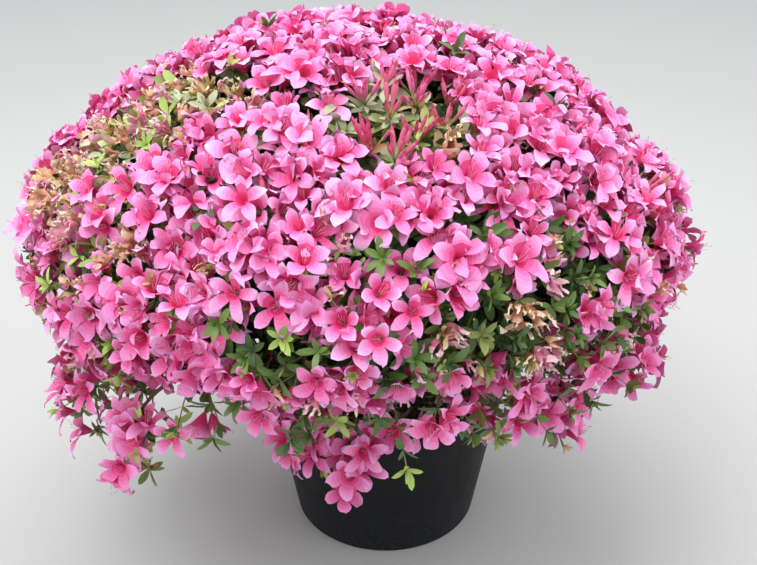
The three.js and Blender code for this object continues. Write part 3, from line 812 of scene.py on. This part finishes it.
# Flowers
# Each flower is one thin corolla: a narrow tube that opens into five soft lobes with wavy edges. Fresh ones
# are rose in the throat, paler at the edges and blotched on the upper lobe. Withered ones are limp, shrunken
# and pale pink to tan, and some dried ones stay caught between the fresh.
corolla_rows = [
    # Radius and height of the middle line when fully open and half width, in mm
    (2.0, 0.0, 1.45),
    (6.8, 13.5, 4.9),
    (10.4, 17.0, 7.5),
    (14.4, 19.7, 9.4),
    (18.9, 21.7, 9.8),
    (23.5, 22.9, 8.6),
    (27.9, 23.2, 5.7),
    (31.6, 22.2, 0.0),
]
row_count = len(corolla_rows) - 1
mouth_row = 1
ZONES = ("throat", "inner", "low lobe", "mid lobe", "lobe", "outer lobe", "edge", "blotch")
blotch_rows = (1, 2)
LOBE_SPREAD = (0.84, 0.94, 1.12, 1.12, 0.94)
# How lobes differ: openness and size as factors, roll and droop in mm, and twist as a slope
LOBE = {"varies": (0.88, 1.08), "roll": 2.2, "twist": 0.18, "droop": (-1.0, 6.5)}
closed_rise = 25
vein_lead = 3.6
keel_depth = 0.7


def arrays_of(shape):
    """A bmesh as vertices, faces and the zone number of each face, and frees it."""
    shape.verts.index_update()
    verts = np.array([vertex.co for vertex in shape.verts])
    faces = [tuple(vertex.index for vertex in face.verts) for face in shape.faces]
    zones = [face.material_index for face in shape.faces]
    shape.free()
    return verts, faces, zones


def flower_template(openness, ruffle, narrow=1.0, crumple=0.0):
    """One flower that faces +Z with its upper lobe towards +X. Openness 1 is flat and 0 is a closed tube."""
    shape = bmesh.new()
    mouth = Vector(corolla_rows[mouth_row])
    for lobe in range(5):
        lobe_open = min(1.25, openness * dice.uniform(*LOBE["varies"]) * LOBE_SPREAD[lobe])
        lobe_size = dice.uniform(*LOBE["varies"])
        roll = dice.uniform(-LOBE["roll"], LOBE["roll"])
        phase = dice.uniform(0, math.tau)
        twist = dice.uniform(-LOBE["twist"], LOBE["twist"])
        droop = dice.uniform(*LOBE["droop"])
        grid = bmesh.ops.create_grid(shape, x_segments=2, y_segments=row_count, size=1)["verts"]
        for face in {face for vertex in grid for face in vertex.link_faces}:
            row = int((face.calc_center_median().y + 1) / 2 * row_count)
            face.material_index = ZONES.index("blotch") if lobe == 0 and row in blotch_rows else row
        for vertex in grid:
            across, row = vertex.co.x, round((vertex.co.y + 1) / 2 * row_count)
            free = max(0, row - mouth_row) / (row_count - mouth_row)
            out, height, half = corolla_rows[row]
            if row > mouth_row:
                drawn_in = (mouth.x + (out - mouth.x) * lobe_open) / out
                out *= drawn_in * (1 + (lobe_size - 1) * free)
                height += (mouth.y + closed_rise * free - height) * (1 - lobe_open) - droop * free**2
                half *= lobe_size * narrow * drawn_in**0.5
            out += vein_lead * (1 - abs(across)) * math.sin(math.pi * row / row_count)
            wave = ruffle * free * math.sin(phase + 1.07 * row + 1.6 * across) * abs(across)
            wave += roll * free * across
            keel = -keel_depth * (1 - abs(across)) * min(1, 2 * free)
            vertex.co = Vector((out, across * half + twist * free * out, height + wave + keel))
        turn = math.tau * lobe / 5
        bmesh.ops.rotate(shape, verts=grid, cent=(0, 0, 0), matrix=Matrix.Rotation(turn, 3, "Z"))
    bmesh.ops.remove_doubles(shape, verts=shape.verts, dist=0.35)
    for vertex in shape.verts:
        place = vertex.co
        bends = noise.noise_vector(place * 0.09 + Vector((openness * 90, 0, 0)))
        wrinkles = noise.noise_vector(place * 0.31 + Vector((0, openness * 70, 0)))
        vertex.co = (place + (bends + wrinkles * 0.4) * crumple) * MM
    return arrays_of(shape)


def lined_up(facings, towards, rolls):
    """For each facing, the X, Y and Z of a thing that faces it, with X turned towards the other way."""
    facings = facings / np.linalg.norm(facings, axis=1)[:, None]
    side = towards - (towards * facings).sum(1)[:, None] * facings
    side /= np.linalg.norm(side, axis=1)[:, None] + 1e-9
    other = np.cross(facings, side)
    cos, sin = np.cos(rolls)[:, None], np.sin(rolls)[:, None]
    return np.stack([side * cos + other * sin, other * cos - side * sin, facings], 1)


def turned(way, towards, roll):
    """The same for a single thing."""
    return lined_up(np.array([way]), np.array([towards]), np.array([roll]))[0]


def beside(way, angle):
    """A direction square to another, at an angle round it."""
    aside = way.orthogonal().normalized()
    return aside * math.cos(angle) + way.cross(aside) * math.sin(angle)


def leaned(way, lean, angle):
    """A direction that leans away from another, to the side that an angle round it gives."""
    return way * math.cos(lean) + beside(way, angle) * math.sin(lean)


def one_of(shares):
    """One of some names or numbers, drawn by their shares."""
    return dice.choice(list(shares), p=list(shares.values()))


def coloured(kind, families, zones, **finish):
    """Plain materials for each zone of each colour family, and the numbers that a family has among them."""
    materials, numbers = [], {}
    for family, colours in families.items():
        numbers[family] = range(len(materials), len(materials) + len(colours))
        for zone, colour in zip(zones, colours):
            name = f"{kind} {family} {zone}".strip()
            materials.append(plain_material(name, colour, **finish))
    return materials, numbers


def planted(name, things, templates, families, materials):
    """Joins copies of templates into one piece. Each thing has a place, turn, size, form and family."""
    verts, faces, dealt, count = [], [], [], 0
    for thing in things:
        shape, sides, zones = templates[thing["form"]]
        verts.append(shape * thing["size"] @ thing["turn"] + thing["place"])
        faces += [tuple(count + i for i in side) for side in sides]
        dealt += [families[thing["family"]][zone] for zone in zones]
        count += len(shape)
    add_piece(name, joined(name, np.concatenate(verts), faces, materials, dealt), mass_names)


# Without a seed, the vector noise in the petals would differ from run to run
noise.seed_set(41)
FORMS = {
    "open": [flower_template(dice.uniform(0.88, 1.12), 2.6, crumple=2.0) for _ in range(16)],
    "funnel": [flower_template(dice.uniform(0.62, 0.82), 2.2, narrow=0.9, crumple=2.0) for _ in range(6)],
    "star": [flower_template(dice.uniform(0.98, 1.16), 2.4, narrow=0.78, crumple=1.6) for _ in range(8)],
    "limp": [flower_template(dice.uniform(0.1, 0.8), 2.6, narrow=0.4, crumple=9.0) for _ in range(12)],
}
flower_forms = sum(FORMS.values(), [])
form_numbers, count = {}, 0
for name, forms in FORMS.items():
    form_numbers[name] = range(count, count + len(forms))
    count += len(forms)

PETALS = {
    "bright": ["#E2407C", "#EB5C9A", "#F174B0", "#F58AC2", "#F79DD2", "#F9AADD", "#FAB4E5", "#E24C88"],
    "pale": ["#E84C88", "#EF6CA8", "#F584BC", "#F79BD0", "#F9ADDE", "#FBBBE8", "#FDC8F0", "#EC6499"],
    "deep": ["#D63878", "#E05494", "#E76AA6", "#ED7EB6", "#F18EC6", "#F49AD1", "#F5A3DA", "#D84482"],
    "fading": ["#E890AA", "#EE9EB4", "#F3ACC0", "#F6BAC9", "#F8C8D0", "#FAD3D5", "#FCDCD8", "#DE8298"],
    "withered": ["#DEA284", "#E8B294", "#EFC0A0", "#F3CAAA", "#F6D5B6", "#F9DEC4", "#FBE8D2", "#D29478"],
    "parched": ["#BE9262", "#CCA474", "#D6B282", "#DFBE90", "#E5C89C", "#EBD2A8", "#F1DCB8", "#AE8456"],
}
# Petals are matt and soft with a little light in them. Their colour runs from throat to edge in fine steps.
soft = {"Roughness": 0.6, "Specular_IOR_Level": 0.25, "Subsurface_Weight": 0.4, "Subsurface_Scale": 0.003}
petal_mats, petal_zones = coloured("Petal", PETALS, ZONES, **soft)

# Below this height most flowers take the deep family: darker petal colours that paint the shade under the
# crown
flower_shade_below = 0.46
FRESH = {
    "high": {"bright": 0.5, "pale": 0.3, "deep": 0.2},
    "low": {"bright": 0.3, "pale": 0.05, "deep": 0.65},
}
WILTED = {
    "patch": {"fading": 0.32, "withered": 0.48, "parched": 0.2},
    "alone": {"fading": 0.9, "withered": 0.1, "parched": 0.0},
    "dried": {"fading": 0.2, "withered": 0.45, "parched": 0.35},
}
TRUSSES = {"crown": {1: 0.15, 2: 0.4, 3: 0.45}, "spray": {1: 0.5, 2: 0.5, 3: 0.0}}
SHAPES = {
    "crown": {"funnel": 0.24, "open": 0.54, "star": 0.22},
    "spray": {"funnel": 0.1, "open": 0.35, "star": 0.55},
}
SIZES = {
    "crown": (0.68, 0.96),
    "spray": (0.8, 0.98),
    "patch": (0.65, 1.0),
    "alone": (0.6, 0.8),
    "dried": (0.35, 0.6),
}
# How far flowers lean from the tip's facing, in radians, and stand off from it, in mm
LEANS = {"first": (0, 0.45), "others": (0.5, 1.1), "dried": (0.6, 1.0)}
STALKS = {"fresh": (7, 14), "dried": (14, 24)}
like_its_truss = 0.7
last_grows = 1.1
withered_droop = 0.4
dried_share = 0.45
flowers = []


def add_flower(tip, place, way, size, shape, family):
    """Notes a flower for the pieces of blossom, in one of its shape's forms."""
    form = dice.choice(form_numbers[shape])
    flower = {"way": way, "size": size, "shape": shape, "family": family, "form": form}
    flowers.append({**flower, "place": np.array(place), "layer": tip["layer"]})


for tip in tips:
    if tip["kind"] not in ("open", "faded"):
        continue
    end, facing = tip["end"], tip["facing"]
    faded, last = tip["kind"] == "faded", tip["layer"] == "last"
    part = "spray" if tip["layer"] in ("spray", "last") else "crown"
    wilt = "patch" if "patch" in tip else "alone"
    # Low flowers mostly take the darker families as painted shade
    fresh = FRESH["low" if end.z < flower_shade_below else "high"]
    mood = one_of(fresh)
    truss = 1 if last else one_of(TRUSSES[part])
    truss += 2 if faded and wilt == "patch" else 0
    swing = dice.uniform(0, math.tau)
    for k in range(truss):
        lean = dice.uniform(*LEANS["others" if k else "first"])
        way = leaned(facing, lean, swing + math.tau * k / truss + dice.uniform(-0.4, 0.4))
        way = (way - UP * (withered_droop if faded else 0)).normalized()
        stalk = end + way * dice.uniform(*STALKS["fresh"]) * MM
        add_stalk([end, end + facing * 3 * MM, stalk], 0.8, 1.0)
        shape = one_of(SHAPES[part])
        family = mood if dice.random() < like_its_truss else one_of(fresh)
        if faded:
            shape, family = "limp", one_of(WILTED[wilt])
        size = dice.uniform(*SIZES[part]) * (last_grows if last else 1)
        if faded:
            size *= dice.uniform(*SIZES[wilt])
        add_flower(tip, stalk, way, size, shape, family)
    if tip["layer"] == "outer" and not faded and dice.random() < dried_share:
        # A dried corolla of an earlier flower, caught between the fresh ones
        angle = dice.uniform(0, math.tau)
        way = leaned(facing, dice.uniform(*LEANS["dried"]), angle)
        place = end + way * dice.uniform(*STALKS["dried"]) * MM
        family = one_of(WILTED["dried"])
        add_flower(tip, place, way, dice.uniform(*SIZES["dried"]), "limp", family)
towards = np.array(UP) + dice.normal(0, 0.15, (len(flowers), 3))
ways = np.array([flower["way"] for flower in flowers])
turns = lined_up(ways, towards, dice.normal(0, 0.5, len(flowers)))
for flower, turn in zip(flowers, turns):
    flower["turn"] = turn
middle_height = float(np.median([flower["place"][2] for flower in flowers]))
high = [flower for flower in flowers if flower["place"][2] >= middle_height]
low = [flower for flower in flowers if flower["place"][2] < middle_height]
planted("blossom_high", high, flower_forms, petal_zones, petal_mats)
planted("blossom_low", low, flower_forms, petal_zones, petal_mats)

# Stamens
# Five slender filaments and a longer style stand out of each open throat and curve up towards its upper lobe.
# The filaments are pale pink and end in small brown anthers.
STAMEN_LINES = [
    # Bearing in radians, length in mm and how far it sweeps out
    (0.9, 29, 0.5),
    (2.2, 31, 0.4),
    (3.3, 28, 0.45),
    (4.4, 30, 0.5),
    (5.6, 32, 0.4),
    (0.0, 37, 0.3),
]
# Shares of the length and radii in mm, the last at the end of the anther
STAMEN_RINGS = [(0.3, 0.3), (0.65, 0.28), (0.93, 0.26), (1.0, 0.5)]


def stamen_template():
    """Filaments as three-sided threads from inside the tube, each with a small anther."""
    shape = bmesh.new()
    for bearing, length, sweep in STAMEN_LINES:
        bearing += dice.uniform(-0.2, 0.2)
        length *= dice.uniform(0.92, 1.08)
        out = Vector((math.cos(bearing), math.sin(bearing), 0)) * sweep * 11
        rings = []
        for share, radius in STAMEN_RINGS:
            place = out * share + Vector((8 * share**2.5 - 3 * share, 0, length * share * 0.93))
            spot = Matrix.Translation(place)
            ring = bmesh.ops.create_circle(shape, segments=3, radius=radius, matrix=spot)["verts"]
            rings.append([shape.edges.get((ring[k], ring[k - 1])) for k in range(3)])
        for k, pair in enumerate(zip(rings, rings[1:])):
            for face in bmesh.ops.bridge_loops(shape, edges=pair[0] + pair[1])["faces"]:
                face.material_index = int(k == 2)
    bmesh.ops.scale(shape, verts=shape.verts, vec=(MM, MM, MM))
    bmesh.ops.recalc_face_normals(shape, faces=shape.faces)
    return arrays_of(shape)


stamen_forms = [stamen_template() for _ in range(5)]
# Silky threads with matt, dusty ends
stamen_mats = [
    plain_material("Pale pink filament", "#F7B5D2", Roughness=0.5),
    plain_material("Brown anther", "#A8606A", Roughness=0.8),
]
stamens = []
for flower in flowers:
    if flower["shape"] != "limp" and flower["layer"] != "middle":
        stamens.append({**flower, "form": dice.integers(len(stamen_forms)), "family": "thread"})
planted("stamens", stamens, stamen_forms, {"thread": [0, 1]}, stamen_mats)

# Flower buds
# Buds stand up in clusters of seven to eleven like candle flames, or one or two beside a flower. Each is a
# corolla still rolled tight, deep rose with a darker point, on a short green stalk.
bud_length, bud_sides = 25, 5
# Shares of the length, and radii in mm
bud_rings = [(0.0, 1.0), (0.2, 1.7), (0.5, 2.5), (0.78, 1.8), (0.94, 0.8), (1.0, 0.2)]
bud_twists = (0.5, 0.9, 1.3)
bud_beside_flower = 0.16
in_cluster, beside_flower = (7, 12), (1, 3)


def bud_template(twist):
    """A rolled bud that stands along +Z."""
    shape = bmesh.new()
    ring = bmesh.ops.create_circle(shape, segments=bud_sides, radius=bud_rings[0][1])["verts"]
    edges = [shape.edges.get((ring[k], ring[k - 1])) for k in range(bud_sides)]
    for k, ((near, wide), (far, wider)) in enumerate(zip(bud_rings, bud_rings[1:])):
        grown = bmesh.ops.extrude_edge_only(shape, edges=edges)["geom"]
        ring = [item for item in grown if isinstance(item, bmesh.types.BMVert)]
        edges = [item for item in grown if isinstance(item, bmesh.types.BMEdge)]
        edges = [edge for edge in edges if all(vertex in ring for vertex in edge.verts)]
        for face in [item for item in grown if isinstance(item, bmesh.types.BMFace)]:
            face.material_index = 0 if k == 0 else (1 if k < 3 else 2)
        bmesh.ops.translate(shape, verts=ring, vec=(0, 0, (far - near) * bud_length))
        bmesh.ops.scale(shape, verts=ring, vec=(wider / wide, wider / wide, 1))
        turn = Matrix.Rotation(twist * (far - near), 3, "Z")
        bmesh.ops.rotate(shape, verts=ring, cent=(0, 0, 0), matrix=turn)
    bmesh.ops.scale(shape, verts=shape.verts, vec=(MM, MM, MM))
    bmesh.ops.recalc_face_normals(shape, faces=shape.faces)
    return arrays_of(shape)


bud_forms = [bud_template(twist) for twist in bud_twists]
BUDS = {
    "rose": ["#C8B080", "#DC5A8A", "#C23A68"],
    "coral": ["#C4B47C", "#E67898", "#CC4870"],
    "pink": ["#D8A494", "#EC7CAC", "#D84C84"],
}
# Buds have a faint gloss, being rolled tight
bud_mats, bud_zones = coloured("Bud", BUDS, ("foot", "side", "point"), Roughness=0.45)
buds = []
for tip in tips:
    count = dice.integers(*in_cluster) if tip["kind"] == "bud" else 0
    if tip["kind"] == "open" and dice.random() < bud_beside_flower:
        count = dice.integers(*beside_flower)
    family = dice.choice(list(BUDS))
    for k in range(count):
        way = (tip["facing"] + UP * 0.3 + Vector(dice.normal(0, 0.5, 3))).normalized()
        foot = tip["end"] + way * dice.uniform(6, 18) * MM
        add_stalk([tip["end"], foot], 0.8, 0.9)
        turn = turned(way, (0.3, 0.2, 1.0), dice.uniform(0, 6))
        size, form = dice.uniform(0.75, 1.2), dice.integers(len(bud_forms))
        buds.append({"place": np.array(foot), "turn": turn, "size": size, "form": form, "family": family})
planted("flower_buds", buds, bud_forms, bud_zones, bud_mats)

# Leaves
# Small evergreen leaves in whorls at the shoot tips and in loose groups down the twigs. Each is a leathery
# ellipse folded along its midrib. This year's are lime green. Those inside the crown are given darker greens
# as painted shade, darkest low down.
leaf_length, leaf_width = 24, 9
# Shares of the length, and of the width
leaf_rows = [(0.0, 0.0), (0.24, 0.72), (0.52, 1.0), (0.82, 0.72), (1.0, 0.0)]
# How each form of leaf is folded along its midrib, and how much it curls down towards its tip
LEAF_BENDS = [(0.25, 0.1), (0.4, 0.22), (0.15, 0.32), (0.5, 0.02), (0.3, -0.12)]
young_side, young_reach = Vector((-0.3, -0.2, 0.55)), 0.2
leaf_shade_below = 0.5
sheltered_below = 0.45
young_share, spike_share = 0.6, 0.5
LEAF_SIZES = {"inner": 1.4, "core": 1.6, "middle": 1.1}


def leaf_template(fold, curl):
    """A leaf along +Z from its stalk, with its upper face towards +X."""
    shape = bmesh.new()
    rows = len(leaf_rows) - 1
    for vertex in bmesh.ops.create_grid(shape, x_segments=2, y_segments=rows, size=1)["verts"]:
        across, row = vertex.co.x, round((vertex.co.y + 1) / 2 * rows)
        along, wide = leaf_rows[row][0], leaf_rows[row][1] * leaf_width / 2
        lift = fold * abs(across) * wide - curl * leaf_length * along**2
        vertex.co = Vector((lift, across * wide, along * leaf_length)) * MM
    bmesh.ops.remove_doubles(shape, verts=shape.verts, dist=0.1 * MM)
    return arrays_of(shape)


leaf_forms = [leaf_template(fold, curl) for fold, curl in LEAF_BENDS]
LEAVES = {
    "summer": "#6F8A42",
    "glossy": "#587838",
    "olive": "#848C4A",
    "dusky": "#567040",
    "fresh": "#A6BC62",
    "lime": "#C4D67C",
    "tawny": "#C6A876",
    "silvery": "#B4BA94",
    # A dark green that paints the shade deep in the crown
    "shaded": "#344A28",
}
# Shares of the leaf colours. Inside the crown the darker greens, and low down mostly the shaded one, are
# painted shade.
TINTS = {
    "outside": {"summer": 0.34, "glossy": 0.26, "olive": 0.18, "dusky": 0.1, "fresh": 0.12},
    "inside": {"dusky": 0.5, "shaded": 0.2, "glossy": 0.3},
    "deep": {"dusky": 0.15, "shaded": 0.75, "glossy": 0.1},
    "budding": {"silvery": 0.4, "olive": 0.25, "tawny": 0.25, "lime": 0.0, "fresh": 0.1},
    "withered": {"silvery": 0.25, "olive": 0.2, "tawny": 0.05, "lime": 0.2, "fresh": 0.3},
}
# Leaves have a waxy gloss that catches the sky
leaf_families = {tint: [colour] for tint, colour in LEAVES.items()}
leaf_mats, leaf_tints = coloured("Leaf", leaf_families, ("",), Roughness=0.42, Specular_IOR_Level=0.45)
leaves = {"outer": [], "inner": []}


def add_whorl(group, place, way, count, tilt, size, tint):
    """Leaves round a shoot, each leaning out from it with its upper face to the light."""
    swing = dice.uniform(0, math.tau)
    for k in range(count):
        angle = swing + math.tau * k / count + dice.uniform(-0.3, 0.3)
        lean = tilt + dice.uniform(-0.5, 0.4)
        out = beside(way, angle)
        along = way * math.cos(lean) + out * math.sin(lean)
        upper = way * math.sin(lean) - out * math.cos(lean) + Vector(dice.normal(0, 0.15, 3))
        turn = turned(along, upper, dice.normal(0, 0.15))
        leaf = {"place": np.array(place), "turn": turn, "size": size * dice.uniform(0.6, 1.2), "family": tint}
        leaves[group].append({**leaf, "form": dice.integers(len(leaf_forms))})


for tip in tips:
    end, facing, line = tip["end"], tip["facing"], tip["twig"]
    inside = tip["layer"] in ("middle", "inner", "core")
    group = "inner" if inside else "outer"
    tint = one_of(TINTS["outside"])
    # Inside the crown, and most of all low in it, darker greens paint the shade
    if inside:
        tint = one_of(TINTS["deep" if end.z < leaf_shade_below else "inside"])
    elif (end - young_side).length < young_reach and dice.random() < young_share:
        tint = dice.choice(["fresh", "lime"])
    _, faded_share, bud_share = tip.get("patch", (0, 0, 0))
    pale_place = faded_share + bud_share > 0.4
    if pale_place:
        tint = one_of(TINTS["budding" if bud_share > 0.3 else "withered"])
    way = (line[-1] - line[-2]).normalized()
    if tip["kind"] == "leafy" and not inside:
        # A leafy shoot: two whorls at its end and darker leaves below
        stand = end + facing * dice.uniform(6, 24) * MM
        add_stalk([end, stand], 0.9, 0.7)
        lean_way = (facing + Vector(dice.normal(0, 0.25, 3))).normalized()
        add_whorl(group, stand, lean_way, dice.integers(2, 5), tilt=0.5, size=0.65, tint=tint)
        add_whorl(group, stand, lean_way, dice.integers(4, 7), tilt=1.05, size=0.85, tint=tint)
        shelter = 3 if end.z < sheltered_below else 6
        darker = dice.choice(["summer", "glossy", "dusky"])
        add_whorl(group, end, facing, shelter, tilt=1.2, size=0.95, tint=darker)
    else:
        size = LEAF_SIZES.get(tip["layer"], 0.7 if pale_place else 0.9)
        lean_way = facing.lerp(way, 0.3).normalized()
        add_whorl(group, end, lean_way, dice.integers(4, 7), tilt=1.3, size=size, tint=tint)
    if tip["kind"] == "bud":
        greyer = dice.choice(["silvery", "olive"])
        add_whorl(group, end - facing * 6 * MM, facing, 7, tilt=1.35, size=1.0, tint=greyer)
    if tip["kind"] == "open" and not inside and dice.random() < spike_share:
        # A young shoot that has outgrown the flowers beside it
        aside = Matrix.Rotation(dice.uniform(0, math.tau), 3, facing) @ facing.orthogonal()
        spike = (facing * dice.uniform(0.5, 0.9) + aside.normalized()).normalized()
        stand = end + spike * dice.uniform(18, 34) * MM
        add_stalk([end, stand], 0.8, 0.6)
        count, young = dice.integers(4, 7), dice.choice(["fresh", "lime", "tawny", "tawny"])
        add_whorl(group, stand, spike, count, tilt=0.6, size=0.55, tint=young)
    for share, colour in ((0.5, "dusky"), (0.76, tint)):
        size = 1.35 if inside else 1.0
        add_whorl(group, on_curve(line, share), way, 3, tilt=1.1, size=size, tint=colour)
planted("leaves_outer", leaves["outer"], leaf_forms, leaf_tints, leaf_mats)
planted("leaves_inner", leaves["inner"], leaf_forms, leaf_tints, leaf_mats)

# The twigs come last, since flowers and leaves have added their stalks to them. So thin a bark looks smooth,
# and only its colour shows its age.
TWIG_COLOURS = {"Tan old wood": "#8A6C50", "Brown young wood": "#9A7852", "Green shoot": "#8E9C56"}
twig_mats = [plain_material(name, colour, Roughness=0.7) for name, colour in TWIG_COLOURS.items()]
twig_mesh = joined("twigs", twigs["verts"], twigs["faces"], twig_mats, twigs["dealt"])
add_piece("twigs", twig_mesh, mass_names)

# Studio
# A plain pale floor, a wide soft key light above the viewer's left shoulder, a weaker fill from the right, a
# soft light from above and behind, and light from all round as under an overcast sky.
floor_shape = bmesh.new()
bmesh.ops.create_grid(floor_shape, x_segments=1, y_segments=1, size=6)
floor_material = plain_material("Studio floor", "#C2C1BE", Roughness=0.9)
add_object("studio_floor", mesh_of("studio_floor", floor_shape, floor_material))


def add_light(name, place, target, size, power):
    lamp = bpy.data.lights.new(name, "AREA")
    lamp.shape, lamp.size, lamp.energy = "DISK", size, power
    light = add_object(name, lamp)
    light.location = place
    light.rotation_euler = (Vector(target) - Vector(place)).to_track_quat("-Z", "Y").to_euler()


add_light("key_light", (-1.1, -1.0, 2.7), (0, 0, 0.35), 1.8, 30)
add_light("fill_light", (2.2, -0.9, 1.9), (0, 0, 0.35), 2.0, 14)
add_light("top_light", (-0.2, 0.7, 2.9), (0, 0, 0.4), 2.4, 38)
world = bpy.data.worlds.new("Overcast")
bpy.context.scene.world = world
world.use_nodes = True
world.node_tree.nodes["Background"].inputs["Color"].default_value = linear("#E9EDF2")
sky_way = add_node(world.node_tree, "ShaderNodeTexCoord").outputs["Generated"]
sky_height = add_node(world.node_tree, "ShaderNodeSeparateXYZ", links={"Vector": sky_way}).outputs["Z"]
sky_light = add_range(world.node_tree, sky_height, (-0.2, 0.8), (0.6, 1.3))
world.node_tree.links.new(sky_light, world.node_tree.nodes["Background"].inputs["Strength"])
bpy.context.scene.view_settings.view_transform = "Standard"

# Camera
# It stands where the photographer stood: a little over a metre in front of the pot and well above the crown,
# looking down.
photo_width = 757
focal_pixels = 1000
look_down = 28
camera_data = bpy.data.cameras.new("viewpoint")
camera_data.sensor_width = 36
camera_data.lens = camera_data.sensor_width * focal_pixels / photo_width
camera = add_object("viewpoint", camera_data)
camera.location = (-0.01, -1.142, 0.95)
camera.rotation_euler = (math.radians(90 - look_down), 0, 0)
bpy.context.scene.camera = camera
